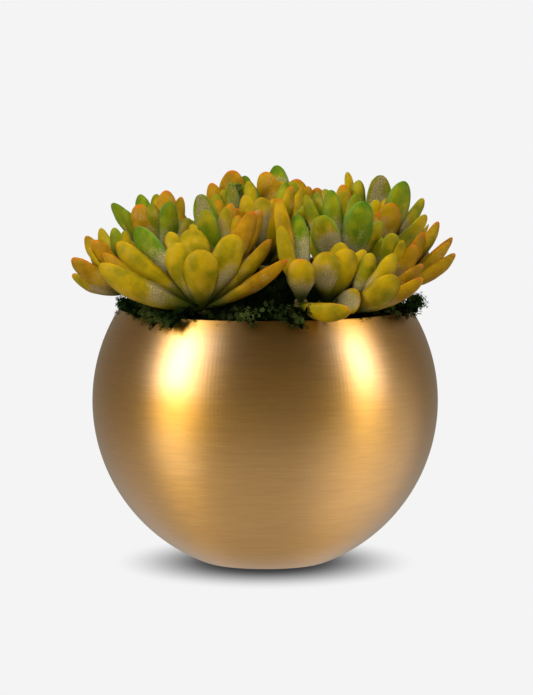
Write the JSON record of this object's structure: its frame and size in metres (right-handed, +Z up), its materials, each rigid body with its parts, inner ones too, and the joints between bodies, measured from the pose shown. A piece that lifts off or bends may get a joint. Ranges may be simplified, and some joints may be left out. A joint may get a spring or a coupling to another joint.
{
  "type": "planter pot",
  "caption": "Round open-mouthed brass planter with a flat base, holding a lift-out lined planting of rosette succulents in moss.",
  "frame": {"origin": "centre of the pot's flat base, on the surface it stands on", "axes": "+Z up through the mouth, front faces -Y, +X to the right seen from the front"},
  "size_m": [0.197, 0.1882, 0.202],
  "materials": {
    "brushed_brass": "spun sheet brass, brushed round the ball, satin lacquer",
    "liner_plastic": "moulded nursery pot, matte",
    "grit": "washed horticultural grit",
    "mix": "dark bark and peat potting mix, crumbly",
    "moss": "preserved moss, soft fronds",
    "leaf": "fleshy leaf with a waxy bloom, yellow-green with orange tips"
  },
  "bodies": {
    "pot": {"pot_shell": "brushed_brass"},
    "planting": {"liner": "liner_plastic", "drainage_grit": "grit", "potting_mix": "mix", "moss_mat": "moss", "moss_tuft_left": "moss", "moss_tuft_front": "moss", "moss_tuft_right": "moss", "succulent_front_left": "leaf", "succulent_left": "leaf", "succulent_back_left": "leaf", "succulent_mid_left": "leaf", "succulent_centre": "leaf", "succulent_crest_left": "leaf", "succulent_crest_right": "leaf", "succulent_front": "leaf", "succulent_front_right": "leaf", "succulent_rim_right": "leaf", "succulent_right": "leaf", "succulent_high_right": "leaf", "succulent_mid_right": "leaf", "succulent_far_right": "leaf", "succulent_rear_left": "leaf", "succulent_rear": "leaf", "succulent_rear_right": "leaf"}
  },
  "joints": [
    {"name": "planting_lift", "type": "slide", "parent": "pot", "child": "planting", "axis": [0, 0, 1], "range_m": [0, 0.125]}
  ]
}
